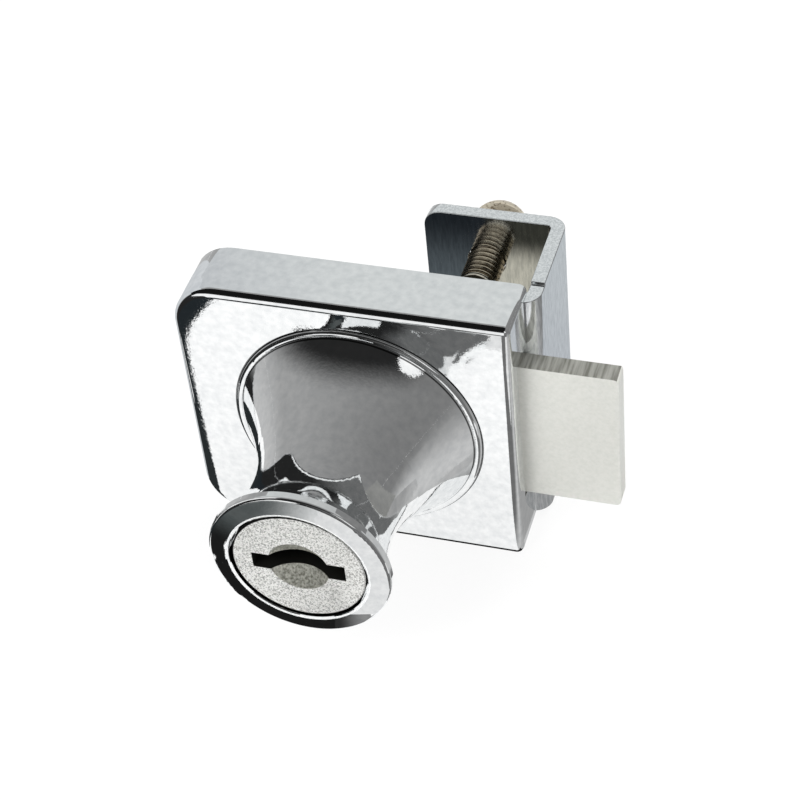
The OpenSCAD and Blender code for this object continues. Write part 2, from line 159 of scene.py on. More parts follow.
# Plug: cast zinc with a blasted, grainy face, a dish around the keyway and lightly broken edges.
# It turns in the knob's bore, and a clip holds it there.


def new_piece(name, mesh):
    """An object for a mesh, alone selected and active."""
    piece = bpy.data.objects.new(name, mesh)
    bpy.context.scene.collection.objects.link(piece)
    bpy.ops.object.select_all(action="DESELECT")
    piece.select_set(True)
    bpy.context.view_layer.objects.active = piece
    return piece


def keep_selected(mesh, wanted):
    """In edit mode, leaves only the selected edges whose two ends pass the test."""
    edit = bmesh.from_edit_mesh(mesh)
    for edge in edit.edges:
        edge.select_set(edge.select and all(wanted(v.co) for v in edge.verts))
    bmesh.update_edit_mesh(mesh)


def apply_last(piece):
    """Applies the modifier that was added last."""
    bpy.ops.object.modifier_apply(modifier=piece.modifiers[-1].name)


smooth_angle = math.radians(50)


def even_shading(piece):
    """Smooth shading that leaves flat faces flat beside their rounded edges."""
    bpy.ops.object.shade_smooth_by_angle(angle=smooth_angle)
    bpy.ops.object.modifier_add(type="WEIGHTED_NORMAL")
    piece.modifiers[-1].keep_sharp = True
    apply_last(piece)


def put(piece, node_name, material):
    """The piece takes a CAD node's place, on its body, with its finish."""
    piece.data.materials.clear()
    piece.data.materials.append(material)
    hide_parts(node_name)
    bodies = frame["record"]["behaviour"]["bodies"]
    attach(piece, next(body for body, members in bodies.items() if node_name in members))


weld = 0.002 * mm
flat_angle, sharp_angle = math.radians(0.5), math.radians(30)


def rounded_copy(node_name, name, radius, wanted=lambda spot: True):
    """A copy of a CAD node with its sharp edges rounded, where their ends pass the test."""
    piece = new_piece(name, nodes[node_name].data.copy())
    bpy.ops.mesh.customdata_custom_splitnormals_clear()
    bpy.ops.object.mode_set(mode="EDIT")
    bpy.ops.mesh.select_all(action="SELECT")
    bpy.ops.mesh.remove_doubles(threshold=weld)
    bpy.ops.mesh.dissolve_limited(angle_limit=flat_angle)
    bpy.ops.mesh.select_mode(type="EDGE")
    bpy.ops.mesh.select_all(action="DESELECT")
    bpy.ops.mesh.edges_select_sharp(sharpness=sharp_angle)
    keep_selected(piece.data, wanted)
    bpy.ops.mesh.bevel(offset=radius, segments=3, clamp_overlap=True)
    bpy.ops.mesh.select_mode(type="VERT")
    bpy.ops.object.mode_set(mode="OBJECT")
    even_shading(piece)
    return piece


# Blasted zinc: pale and grainy, it scatters the light. Painted shade of the gap in the bore darkens its rim,
# a little more on one side.
grain_size = 0.14 * mm
gap_shade_middle = Vector((0.09, 0, -0.07)) * mm
plug_zinc = new_material("blasted_plug_zinc")
place = add_node(plug_zinc, "TexCoord").outputs["Object"]
grain = add_node(plug_zinc, "TexNoise", {"Vector": place, "Scale": 1 / grain_size, "Detail": 3})
tone = add_node(plug_zinc, "ValToRGB", {"Fac": grain.outputs["Fac"]},
                stops=((0.36, "#A2A29E"), (0.56, "#FBFBF8")))
off_middle = add_node(plug_zinc, "VectorMath", {0: place, 1: gap_shade_middle}, operation="SUBTRACT")
level = add_node(plug_zinc, "VectorMath", {0: off_middle.outputs[0], 1: (1, 0, 1)}, operation="MULTIPLY")
reach = add_node(plug_zinc, "VectorMath", {0: level.outputs[0]}, operation="LENGTH")
# Painted shade: a near-black ring at the plug's rim, centred off the axis.
painted_shade = add_node(plug_zinc, "MapRange", {
    "Value": reach.outputs["Value"], "From Min": 6.84 * mm, "From Max": 6.9 * mm})
gap_shaded_tone = add_node(plug_zinc, "Mix", {
    "Factor": painted_shade.outputs[0], 6: tone.outputs["Color"], 7: colour("#1A1A18")}, data_type="RGBA")
pits = add_node(plug_zinc, "Bump", {"Height": grain.outputs["Fac"], "Strength": 0.5, "Distance": 0.05 * mm})
finish_material(plug_zinc, add_node(plug_zinc, "BsdfPrincipled", {
    "Base Color": gap_shaded_tone.outputs[2], "Metallic": 0.7, "Roughness": 0.42,
    "Normal": pits.outputs["Normal"]}))

# Painted shade, in the keyway and on the plug's side in its bore: almost black zinc, with a smeared shine.
smear_size = 0.6 * mm
keyway_shade_zinc = new_material("shaded_keyway_zinc")
place = add_node(keyway_shade_zinc, "TexCoord").outputs["Object"]
smear = add_node(keyway_shade_zinc, "TexNoise", {"Vector": place, "Scale": 1 / smear_size, "Detail": 3})
rub = add_node(keyway_shade_zinc, "MapRange", {"Value": smear.outputs["Fac"], "To Min": 0.3, "To Max": 0.6})
finish_material(keyway_shade_zinc, add_node(keyway_shade_zinc, "BsdfPrincipled", {
    "Base Color": colour("#141412"), "Roughness": rub.outputs["Result"]}))

# Dish zinc, in the dish: darker and smoother than the face, and blotched.
blotch_size = 0.25 * mm
dish_zinc = new_material("darker_dish_zinc")
place = add_node(dish_zinc, "TexCoord").outputs["Object"]
blotch = add_node(dish_zinc, "TexNoise", {"Vector": place, "Scale": 1 / blotch_size, "Detail": 4})
tone = add_node(dish_zinc, "ValToRGB", {"Fac": blotch.outputs["Fac"]},
                stops=((0.35, "#7A7A70"), (0.65, "#C8C8BE")))
finish_material(dish_zinc, add_node(dish_zinc, "BsdfPrincipled", {
    "Base Color": tone.outputs["Color"], "Metallic": 0.6, "Roughness": 0.4}))

face_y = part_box("lock_plug")[0].y
edge_r, rounded_d = 0.05 * mm, 1.9 * mm
side_r, side_d = 6.88 * mm, 0.1 * mm
keyway_half_l, keyway_half_w = 4.9 * mm, 1.01 * mm
dish_r = 3.25 * mm
sunk_d = 0.04 * mm
plug = rounded_copy("lock_plug", "key_plug", edge_r, lambda spot: spot.y < face_y + rounded_d)
put(plug, "lock_plug", plug_zinc)
plug.data.materials.append(keyway_shade_zinc)
plug.data.materials.append(dish_zinc)
for face in plug.data.polygons:
    middle = face.center
    depth = middle.y - face_y
    radius = math.hypot(middle.x, middle.z)
    # Faces in the gap and in the keyway take the painted shade, and faces in the dish take the darker dish
    # zinc.
    if radius > side_r and depth > side_d:
        face.material_index = 1
    elif abs(middle.z) < keyway_half_w and abs(middle.x) < keyway_half_l and depth > sunk_d:
        face.material_index = 1
    elif radius < dish_r and depth > sunk_d:
        face.material_index = 2

# Wafers, their springs and the clip, inside the casting: thin stamped brass plates that slide across the
# plug, coils of drawn wire that push them, and a ring of spring strip that keeps the plug in its bore.

# Stamped brass: a dull yellow with the soft clouds of rolled sheet.
sheet_cloud_size = 0.6 * mm
brass = new_material("stamped_brass")
place = add_node(brass, "TexCoord").outputs["Object"]
rolled = add_node(brass, "TexNoise", {"Vector": place, "Scale": 1 / sheet_cloud_size, "Detail": 3})
rub = add_node(brass, "MapRange", {"Value": rolled.outputs["Fac"], "To Min": 0.25, "To Max": 0.45})
finish_material(brass, add_node(brass, "BsdfPrincipled", {
    "Base Color": colour("#6E5A35"), "Metallic": 1, "Roughness": rub.outputs["Result"]}))

# Drawn spring steel: bright grey, with a gloss that changes along the wire.
wire_mark_size = 0.3 * mm
spring_steel = new_material("spring_steel")
place = add_node(spring_steel, "TexCoord").outputs["Object"]
drawn = add_node(spring_steel, "TexNoise", {"Vector": place, "Scale": 1 / wire_mark_size, "Detail": 3})
rub = add_node(spring_steel, "MapRange", {"Value": drawn.outputs["Fac"], "To Min": 0.25, "To Max": 0.5})
finish_material(spring_steel, add_node(spring_steel, "BsdfPrincipled", {
    "Base Color": colour("#A7A9AD"), "Metallic": 1, "Roughness": rub.outputs["Result"]}))
for i in range(1, 6):
    dress(f"wafer_{i}", brass)
    dress(f"wafer_spring_{i}", spring_steel)
dress("plug_clip", spring_steel)

# Bolt: a flat steel bar with a satin nickel finish, milled and then tumbled, so its edges are
# lightly rounded. It slides in the case, and the plug's crank pin moves it.

# Satin nickel: pale and slightly warm, with soft, blurred reflections and a faint mottle.
mottle_size = 0.4 * mm
bolt_nickel = new_material("satin_bolt_nickel")
place = add_node(bolt_nickel, "TexCoord").outputs["Object"]
mottle = add_node(bolt_nickel, "TexNoise", {"Vector": place, "Scale": 1 / mottle_size, "Detail": 5})
tone = add_node(bolt_nickel, "ValToRGB", {"Fac": mottle.outputs["Fac"]},
                stops=((0.3, "#E4E5DE"), (0.7, "#EEEEE8")))
finish_material(bolt_nickel, add_node(bolt_nickel, "BsdfPrincipled", {
    "Base Color": tone.outputs["Color"], "Metallic": 0.35, "Roughness": 0.4}))

# Sheared steel, on the narrow sides: darker, with streaks across the thickness of the bar.
streak_size = 0.35 * mm
bolt_edge = new_material("sheared_bolt_edge")
place = add_node(bolt_edge, "TexCoord").outputs["Object"]
drawn_out = add_node(bolt_edge, "VectorMath", {0: place, 1: (1, 0.08, 1)}, operation="MULTIPLY")
shear = add_node(bolt_edge, "TexNoise", {
    "Vector": drawn_out.outputs[0], "Scale": 1 / streak_size, "Detail": 4})
tone = add_node(bolt_edge, "ValToRGB", {"Fac": shear.outputs["Fac"]},
                stops=((0.35, "#87877F"), (0.65, "#BDBDB6")))
finish_material(bolt_edge, add_node(bolt_edge, "BsdfPrincipled", {
    "Base Color": tone.outputs["Color"], "Metallic": 0.6, "Roughness": 0.35}))

bolt = rounded_copy("dead_bolt", "sliding_bolt", radius=0.12 * mm)
put(bolt, "dead_bolt", bolt_nickel)
bolt.data.materials.append(bolt_edge)
for face in bolt.data.polygons:
    if abs(face.normal.z) > 0.8:
        face.material_index = 1

# Bracket: steel strip, punched, bent around the edge of the glass and chrome plated. Its front leg
# closes the back of the case, and its rear leg carries the clamp screws behind the glass.

# Chrome on rolled strip: a less perfect mirror than the case's, with fine upright lines from the rolls.
roll_cloud_size = 0.8 * mm
roll_line_size = 0.2 * mm
sheet_chrome = new_material("sheet_chrome")
place = add_node(sheet_chrome, "TexCoord").outputs["Object"]
rolled = add_node(sheet_chrome, "TexNoise", {"Vector": place, "Scale": 1 / roll_cloud_size, "Detail": 4})
polish = add_node(sheet_chrome, "MapRange", {"Value": rolled.outputs["Fac"], "To Min": 0.06, "To Max": 0.16})
drawn_out = add_node(sheet_chrome, "VectorMath", {0: place, 1: (1, 1, 0.15)}, operation="MULTIPLY")
lines = add_node(sheet_chrome, "TexNoise", {
    "Vector": drawn_out.outputs[0], "Scale": 1 / roll_line_size, "Detail": 4})
tint = add_node(sheet_chrome, "ValToRGB", {"Fac": lines.outputs["Fac"]},
                stops=((0.35, "#DADDDF"), (0.65, "#FAFCFD")))
finish_material(sheet_chrome, add_node(sheet_chrome, "BsdfPrincipled", {
    "Base Color": tint.outputs["Color"], "Metallic": 1, "Roughness": polish.outputs["Result"]}))
bracket = rounded_copy("clamp_bracket", "bent_bracket", radius=0.18 * mm)
put(bracket, "clamp_bracket", sheet_chrome)

# Cover screws: four small countersunk screws of zinc plated steel. They hold the bracket's front leg
# to the case, flush with it and hidden by the pad.

# Zinc plating: a soft, bluish grey shine with a cloudy bloom.
bloom_size = 0.5 * mm
zinc = new_material("zinc_plated_steel")
place = add_node(zinc, "TexCoord").outputs["Object"]
bloom = add_node(zinc, "TexNoise", {"Vector": place, "Scale": 1 / bloom_size, "Detail": 3})
rub = add_node(zinc, "MapRange", {"Value": bloom.outputs["Fac"], "To Min": 0.25, "To Max": 0.4})
finish_material(zinc, add_node(zinc, "BsdfPrincipled", {
    "Base Color": colour("#CFD2D4"), "Metallic": 1, "Roughness": rub.outputs["Result"]}))
for i in range(1, 5):
    dress(f"cover_screw_{i}", zinc)

# Pad: black rubber sheet, cut to the bracket's front leg and glued to it. The glass rests on it
# without being scratched.

# Cut rubber: nearly black and dull, with a patchy bloom that changes how dull it is.
patch_size = 0.4 * mm
rubber = new_material("cut_rubber_sheet")
place = add_node(rubber, "TexCoord").outputs["Object"]
bloom = add_node(rubber, "TexNoise", {"Vector": place, "Scale": 1 / patch_size, "Detail": 3})
rub = add_node(rubber, "MapRange", {"Value": bloom.outputs["Fac"], "To Min": 0.55, "To Max": 0.8})
finish_material(rubber, add_node(rubber, "BsdfPrincipled", {
    "Base Color": colour("#2B2C2E"), "Roughness": rub.outputs["Result"]}))
put(rounded_copy("glass_pad", "rubber_pad", radius=0.2 * mm), "glass_pad", rubber)

# Clamp screws: nickel plated steel, cold headed, with a rolled thread and a cross recess.
# Each has a turned steel tip that swivels in its end and rests on the glass.
pitch = 0.7 * mm
thread_r = 1.98 * mm
thread_depth = 0.38 * mm
root_share, flank_share, crest_share = 0.06, 0.36, 0.16
shank_l = 10 * mm
shank_in_head = 0.3 * mm
head_h = 2.4 * mm
head_rim_r = 0.2 * mm
recess_l = 3.2 * mm
recess_w = 0.8 * mm
recess_d = 1.5 * mm
recess_taper = 0.55
stem_hole_r = 0.95 * mm
stem_hole_d = 1.95 * mm
hair = 1e-6 * mm
thread_smooth_angle = math.radians(35)


def rolled_thread(start, end, radius):
    """A right-hand thread along +Y: one ridge, swept around the axis and cut to length."""
    bpy.ops.mesh.primitive_plane_add(size=mm)
    thread = bpy.context.object
    bpy.ops.object.mode_set(mode="EDIT")
    bpy.ops.mesh.merge(type="CENTER")
    bpy.ops.transform.translate(value=(radius - thread_depth, start - pitch, 0))
    for out, along in ((0, root_share), (thread_depth, flank_share), (0, crest_share),
                       (-thread_depth, flank_share), (0, root_share)):
        bpy.ops.mesh.extrude_region_move(TRANSFORM_OT_translate={"value": (out, along * pitch, 0)})
    bpy.ops.object.mode_set(mode="OBJECT")
    bpy.ops.object.modifier_add(type="SCREW")
    sweep = thread.modifiers[-1]
    sweep.axis = "Y"
    sweep.screw_offset = pitch
    sweep.iterations = math.ceil((end - start) / pitch) + 2
    sweep.steps = sweep.render_steps = 40
    apply_last(thread)
    bpy.ops.object.mode_set(mode="EDIT")
    bpy.ops.mesh.select_all(action="SELECT")
    bpy.ops.mesh.remove_doubles(threshold=weld)
    for cut, way in ((start, -1), (end, 1)):
        bpy.ops.mesh.select_all(action="SELECT")
        bpy.ops.mesh.bisect(plane_co=(0, cut, 0), plane_no=(0, way, 0), clear_outer=True, use_fill=True,
                            threshold=hair)
    bpy.ops.mesh.select_all(action="SELECT")
    bpy.ops.mesh.normals_make_consistent(inside=False)
    bpy.ops.object.mode_set(mode="OBJECT")
    return thread


def cut_away(piece, cutter):
    """Cuts one object out of another and deletes it."""
    bpy.ops.object.select_all(action="DESELECT")
    piece.select_set(True)
    bpy.context.view_layer.objects.active = piece
    bpy.ops.object.modifier_add(type="BOOLEAN")
    piece.modifiers[-1].object = cutter
    apply_last(piece)
    bpy.data.objects.remove(cutter)


def screw_head(low_y, radius):
    """A domed head on +Y with a cross recess: part of a ball, cut flat, its rim rounded."""
    ball = (radius ** 2 + head_h ** 2) / (2 * head_h)
    bpy.ops.mesh.primitive_uv_sphere_add(segments=64, ring_count=26, radius=ball,
                                         location=(0, low_y + head_h - ball, 0), rotation=(math.pi / 2, 0, 0))
    head = bpy.context.object
    bpy.ops.object.transform_apply()
    bpy.ops.object.mode_set(mode="EDIT")
    bpy.ops.mesh.bisect(plane_co=(0, low_y, 0), plane_no=(0, 1, 0), clear_inner=True, use_fill=True,
                        threshold=hair)
    bpy.ops.mesh.select_mode(type="EDGE")
    bpy.ops.mesh.select_all(action="SELECT")
    keep_selected(head.data, lambda spot: abs(spot.y - low_y) < weld)
    bpy.ops.mesh.bevel(offset=head_rim_r, segments=3)
    bpy.ops.mesh.select_mode(type="VERT")
    bpy.ops.mesh.select_all(action="SELECT")
    bpy.ops.mesh.normals_make_consistent(inside=False)
    bpy.ops.object.mode_set(mode="OBJECT")
    for size in ((recess_l, recess_w), (recess_w, recess_l)):
        bpy.ops.mesh.primitive_cube_add(size=1, location=(0, low_y + head_h, 0))
        arm = bpy.context.object
        arm.scale = (size[0], 2 * recess_d, size[1])
        bpy.ops.object.transform_apply()
        bpy.ops.object.mode_set(mode="EDIT")
        bpy.ops.mesh.select_mode(type="FACE")
        bpy.ops.mesh.select_all(action="DESELECT")
        edit = bmesh.from_edit_mesh(arm.data)
        for side in edit.faces:
            side.select_set(side.normal.y < -0.5)
        bmesh.update_edit_mesh(arm.data)
        bpy.ops.transform.resize(value=(recess_taper, 1, recess_taper))
        bpy.ops.mesh.select_mode(type="VERT")
        bpy.ops.object.mode_set(mode="OBJECT")
        cut_away(head, arm)
    return head


def clamp_screw(node_name, name):
    """Thread and head of a screw, put where its CAD node is."""
    low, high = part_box(node_name)
    axis = Vector(((low.x + high.x) / 2, 0, (low.z + high.z) / 2))
    end = low.y + shank_l
    thread = rolled_thread(low.y, end + shank_in_head, thread_r)
    bpy.ops.mesh.primitive_cylinder_add(vertices=32, radius=stem_hole_r, depth=2 * stem_hole_d,
                                        location=(0, low.y, 0), rotation=(math.pi / 2, 0, 0))
    cut_away(thread, bpy.context.object)
    head = screw_head(end, (high.x - low.x) / 2)
    bpy.ops.object.select_all(action="DESELECT")
    thread.select_set(True)
    head.select_set(True)
    bpy.context.view_layer.objects.active = head
    bpy.ops.object.join()
    head.name = name
    bpy.ops.transform.translate(value=axis)
    bpy.ops.object.transform_apply()
    bpy.ops.object.shade_smooth_by_angle(angle=thread_smooth_angle)
    return head


# Nickel plated thread: bright, warm crests over dark brown roots, where brown tarnish is darkened further by
# painted shade in the grooves.
screw_mottle_size = 0.3 * mm
wander_d = 0.3 * mm
root_r, crest_r = 1.75 * mm, 2.15 * mm
screw_nickel = new_material("nickel_screw_steel")
place = add_node(screw_nickel, "TexCoord").outputs["Object"]
low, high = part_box("clamp_screw_upper")
either = add_node(screw_nickel, "VectorMath", {0: place}, operation="ABSOLUTE")
from_axis = add_node(screw_nickel, "VectorMath", {0: either.outputs[0], 1: (low + high) / 2},
                     operation="SUBTRACT")
level = add_node(screw_nickel, "VectorMath", {0: from_axis.outputs[0], 1: (1, 0, 1)}, operation="MULTIPLY")
reach = add_node(screw_nickel, "VectorMath", {0: level.outputs[0]}, operation="LENGTH")
screw_mottle = add_node(screw_nickel, "TexNoise", {"Vector": place, "Scale": 1 / screw_mottle_size, "Detail": 5})
wander = add_node(screw_nickel, "Math", {0: screw_mottle.outputs["Fac"], 1: wander_d, 2: reach.outputs["Value"]},
                  operation="MULTIPLY_ADD")
# Painted shade: the colour darkens from crest to root.
crest = add_node(screw_nickel, "MapRange", {
    "Value": wander.outputs[0], "From Min": root_r, "From Max": crest_r})
tone = add_node(screw_nickel, "ValToRGB", {"Fac": crest.outputs[0]}, stops=((0, "#3B3026"), (1, "#CDBFA8")))
rub = add_node(screw_nickel, "MapRange", {"Value": screw_mottle.outputs["Fac"], "To Min": 0.1, "To Max": 0.26})
finish_material(screw_nickel, add_node(screw_nickel, "BsdfPrincipled", {
    "Base Color": tone.outputs["Color"], "Metallic": 1, "Roughness": rub.outputs["Result"]}))

# Spotted nickel, on the head: a pale, warm grey, half dulled, with small brown spots.
spot_size = 0.32 * mm
head_nickel = new_material("spotted_head_nickel")
place = add_node(head_nickel, "TexCoord").outputs["Object"]
spots = add_node(head_nickel, "TexNoise", {"Vector": place, "Scale": 1 / spot_size, "Detail": 3})
tone = add_node(head_nickel, "ValToRGB", {"Fac": spots.outputs["Fac"]},
                stops=((0.33, "#7C6E59"), (0.45, "#CFC6B3")))
finish_material(head_nickel, add_node(head_nickel, "BsdfPrincipled", {
    "Base Color": tone.outputs["Color"], "Metallic": 0.45, "Roughness": 0.28}))

# Turned steel: a bright tip painted with rings of shade and highlight, like the last turns of a thread, drawn
# coarse so that they show.
tool_mark_size = 0.3 * mm
painted_ring_w = 0.4 * mm
tip_steel = new_material("turned_tip_steel")
place = add_node(tip_steel, "TexCoord").outputs["Object"]
turned = add_node(tip_steel, "TexNoise", {"Vector": place, "Scale": 1 / tool_mark_size, "Detail": 3})
rub = add_node(tip_steel, "MapRange", {"Value": turned.outputs["Fac"], "To Min": 0.08, "To Max": 0.2})
light_and_shade_rings = add_node(tip_steel, "TexWave", {"Vector": place, "Scale": 0.1 * math.pi / painted_ring_w},
                 bands_direction="Y")
tone = add_node(tip_steel, "ValToRGB", {"Fac": light_and_shade_rings.outputs["Fac"]},
                stops=((0.25, "#39332A"), (0.6, "#D6CFC0")))
finish_material(tip_steel, add_node(tip_steel, "BsdfPrincipled", {
    "Base Color": tone.outputs["Color"], "Metallic": 1, "Roughness": rub.outputs["Result"]}))

head_start_y = low.y + shank_l - 0.01 * mm
for side in ("upper", "lower"):
    screw = clamp_screw(f"clamp_screw_{side}", f"{side}_threaded_screw")
    put(screw, f"clamp_screw_{side}", screw_nickel)
    screw.data.materials.append(head_nickel)
    for face in screw.data.polygons:
        if face.center.y > head_start_y:
            face.material_index = 1
    put(rounded_copy(f"screw_tip_{side}", f"{side}_swivel_tip", radius=0.15 * mm),
        f"screw_tip_{side}", tip_steel)

# Floor: a white paper sheet below the lock, which takes its soft shadow.
# Seen or mirrored, it glows nearly white, and a little less close to the lock.
floor_z = cad_box[0].z
bpy.ops.mesh.primitive_plane_add(size=4, location=(0, 0, floor_z))
floor = bpy.context.object
floor.name = "floor"
white_sheet = new_material("white_sheet")
seen = add_node(white_sheet, "LightPath")
glossy = add_node(white_sheet, "Math", {0: seen.outputs["Is Camera Ray"], 1: seen.outputs["Is Glossy Ray"]},
                  operation="MAXIMUM")
looked_at = add_node(white_sheet, "Math", {0: glossy.outputs[0], 1: seen.outputs["Is Transmission Ray"]},
                     operation="MAXIMUM")
paper = add_node(white_sheet, "BsdfDiffuse", {"Color": colour("#E7E7E7")})
place = add_node(white_sheet, "TexCoord").outputs["Object"]
far_off = add_node(white_sheet, "VectorMath", {0: place}, operation="LENGTH")
glow_tone = add_node(white_sheet, "MapRange", {
    "Value": far_off.outputs["Value"], "From Min": 0.2, "From Max": 0.5, "To Min": 0.88, "To Max": 1})
glow = add_node(white_sheet, "Emission", {"Strength": glow_tone.outputs["Result"]})
shade = add_node(white_sheet, "BsdfDiffuse", {"Color": colour("#656565")})
lit = add_node(white_sheet, "AddShader", {0: glow.outputs[0], 1: shade.outputs[0]})
finish_material(white_sheet, add_node(white_sheet, "MixShader", {
    0: looked_at.outputs[0], 1: paper.outputs[0], 2: lit.outputs[0]}))
floor.data.materials.append(white_sheet)

# Studio tent: grey cloth on a dome and on the floor around the lock, dark in front, where the
# camera stands, with two bright windows. Only reflections show it.


def only_reflected(prop):
    """A part of the studio that stands there for its reflection alone."""
    prop.visible_camera = False
    prop.visible_diffuse = False
    prop.visible_shadow = False
    prop.visible_transmission = False


deg = math.radians(1)
slit_turn, slit_half_w = -21 * deg, 9 * deg
slit_rise, slit_half_h = -4 * deg, 11 * deg
window_middle, window_r = (37 * deg, 28 * deg, 0), 22 * deg
window_left, window_low = 41 * deg, 20 * deg
behind_dim, front_lean = 0.4, 0.15
cloth = new_material("tent_cloth")
place = add_node(cloth, "TexCoord").outputs["Object"]
way = add_node(cloth, "VectorMath", {0: place}, operation="NORMALIZE")
part = add_node(cloth, "SeparateXYZ", {0: way.outputs[0]})
ahead = add_node(cloth, "Math", {0: part.outputs["Y"], 1: -1}, operation="MULTIPLY").outputs[0]
turn = add_node(cloth, "Math", {0: part.outputs["X"], 1: ahead}, operation="ARCTAN2").outputs[0]
rise = add_node(cloth, "Math", {0: part.outputs["Z"]}, operation="ARCSINE").outputs[0]
upper = add_node(cloth, "MapRange", {
    "Value": part.outputs["X"], "From Min": -0.9, "From Max": 0.9, "To Min": 0.36, "To Max": 0.21})
lower = add_node(cloth, "MapRange", {
    "Value": part.outputs["X"], "From Min": -0.9, "From Max": 0.9, "To Min": 0.54, "To Max": 0.57})
beside = add_node(cloth, "MapRange", {
    "Value": turn, "From Min": -80 * deg, "From Max": 80 * deg, "To Min": 0, "To Max": 13 * deg})
behind = add_node(cloth, "MapRange", {
    "Value": turn, "From Min": 82 * deg, "From Max": 115 * deg, "To Min": 0, "To Max": 17 * deg})
drop = add_node(cloth, "Math", {0: beside.outputs[0], 1: behind.outputs[0]}, operation="ADD")
above_drop = add_node(cloth, "Math", {0: rise, 1: drop.outputs[0]}, operation="ADD")
height = add_node(cloth, "MapRange", {
    "Value": above_drop.outputs[0], "From Min": -16 * deg, "From Max": 16 * deg},
    interpolation_type="SMOOTHSTEP")
dimmed = add_node(cloth, "Math", {0: behind.outputs[0], 1: -behind_dim, 2: lower.outputs[0]},
                  operation="MULTIPLY_ADD")
grey = add_node(cloth, "Mix", {
    "Factor": height.outputs[0], 2: dimmed.outputs[0], 3: upper.outputs[0]}, data_type="FLOAT")
frontward = add_node(cloth, "Math", {0: part.outputs["X"], 1: -front_lean, 2: ahead},
                     operation="MULTIPLY_ADD")
in_front = add_node(cloth, "MapRange", {"Value": frontward.outputs[0], "From Min": 0.2, "From Max": 0.42},
                    interpolation_type="SMOOTHSTEP")
to_right = add_node(cloth, "MapRange", {
    "Value": turn, "From Min": -10 * deg, "From Max": 20 * deg, "To Min": 0.02, "To Max": 0.16})
above = add_node(cloth, "MapRange", {"Value": rise, "From Min": 25 * deg, "From Max": 45 * deg},
                 interpolation_type="SMOOTHSTEP")
dark_tone = add_node(cloth, "Mix", {"Factor": above.outputs[0], 2: to_right.outputs[0], 3: 0.02},
                     data_type="FLOAT")
tone = add_node(cloth, "Mix", {"Factor": in_front.outputs[0], 2: grey.outputs[0], 3: dark_tone.outputs[0]},
                data_type="FLOAT").outputs[0]
slit_wide = add_node(cloth, "Math", {0: turn, 1: slit_turn, 2: slit_half_w}, operation="COMPARE")
slit_high = add_node(cloth, "Math", {0: rise, 1: slit_rise, 2: slit_half_h}, operation="COMPARE")
slit = add_node(cloth, "Math", {0: slit_wide.outputs[0], 1: slit_high.outputs[0]}, operation="MULTIPLY")
aim = add_node(cloth, "CombineXYZ", {"X": turn, "Y": rise})
off = add_node(cloth, "VectorMath", {0: aim.outputs[0], 1: window_middle}, operation="DISTANCE")
disc = add_node(cloth, "Math", {0: off.outputs["Value"], 1: window_r}, operation="LESS_THAN")
past = add_node(cloth, "Math", {0: turn, 1: window_left}, operation="GREATER_THAN")
over = add_node(cloth, "Math", {0: rise, 1: window_low}, operation="GREATER_THAN")
cut_disc = add_node(cloth, "Math", {0: disc.outputs[0], 1: past.outputs[0]}, operation="MULTIPLY")
window = add_node(cloth, "Math", {0: cut_disc.outputs[0], 1: over.outputs[0]}, operation="MULTIPLY")
for opening in (slit, window):
    tone = add_node(cloth, "Math", {0: tone, 1: opening.outputs[0]}, operation="MAXIMUM").outputs[0]
finish_material(cloth, add_node(cloth, "Emission", {"Strength": tone}))
bpy.ops.mesh.primitive_uv_sphere_add(segments=64, ring_count=32, radius=1.5)
tent = bpy.context.object
tent.name = "tent"
tent.data.materials.append(cloth)
only_reflected(tent)


def sheet(name, corners, material):
    """A flat sheet through these corners in millimetres, for its reflection."""
    mesh = bpy.data.meshes.new(name)
    mesh.from_pydata([Vector(corner) * mm for corner in corners], [], [range(len(corners))])
    piece = bpy.data.objects.new(name, mesh)
    bpy.context.scene.collection.objects.link(piece)
    mesh.materials.append(material)
    only_reflected(piece)


def level_sheet(name, outline, height, material):
    """A level sheet with this outline, at a height in millimetres."""
    sheet(name, [(x, y, height) for x, y in outline], material)


ground = floor_z / mm
cloth_z = ground + 0.05
level_sheet("cloth_left", [(-46, -120), (-46, 90), (-1400, 400), (-1400, -700)], cloth_z, cloth)
level_sheet("cloth_right", [(18, 60), (17, -8.4), (14, -20), (12, -40), (16, -60), (1400, -300), (1400, 400),
                            (60, 90)], cloth_z, cloth)
level_sheet("cloth_back", [(-46, 90), (60, 90), (1400, 400), (0, 1400), (-1400, 400)], cloth_z, cloth)
level_sheet("cloth_front", [(-46, -120), (-15, -75), (10, -75), (16, -60), (1400, -300), (1400, -700),
                            (0, -1400), (-1400, -700)], cloth_z, cloth)

# Cards: small glowing sheets of black, grey and pale tones close to the lock, seen only in reflections. They
# draw the dark lines along its edges, brighten its top, and paint the shadows of the knob and of the case's
# bottom edge and the reflection of the pad. Where they lie on the floor, each lies a little above the one
# below it.


def card_paper(name, tone, far_tone, axis="X", near=0, far=1, gap=0, reach=1000):
    """Paper whose tone runs from one to the other between two places on an axis, in millimetres.
    It hides nothing from a surface that is nearer than its gap or farther than its reach."""
    paper = new_material(name)
    place = add_node(paper, "TexCoord").outputs["Object"]
    along = add_node(paper, "SeparateXYZ", {0: place}).outputs[axis]
    share = add_node(paper, "MapRange", {"Value": along, "From Min": near * mm, "From Max": far * mm},
                     interpolation_type="SMOOTHSTEP")
    mixed = add_node(paper, "Mix", {"Factor": share.outputs[0], 6: colour(tone), 7: colour(far_tone)},
                     data_type="RGBA")
    way = add_node(paper, "LightPath").outputs["Ray Length"]
    close = add_node(paper, "Math", {0: way, 1: (gap + reach) / 2 * mm, 2: (reach - gap) / 2 * mm},
                     operation="COMPARE")
    return finish_material(paper, add_node(paper, "MixShader", {
        0: close.outputs[0], 1: add_node(paper, "BsdfTransparent").outputs[0],
        2: add_node(paper, "Emission", {"Color": mixed.outputs[2]}).outputs[0]}))


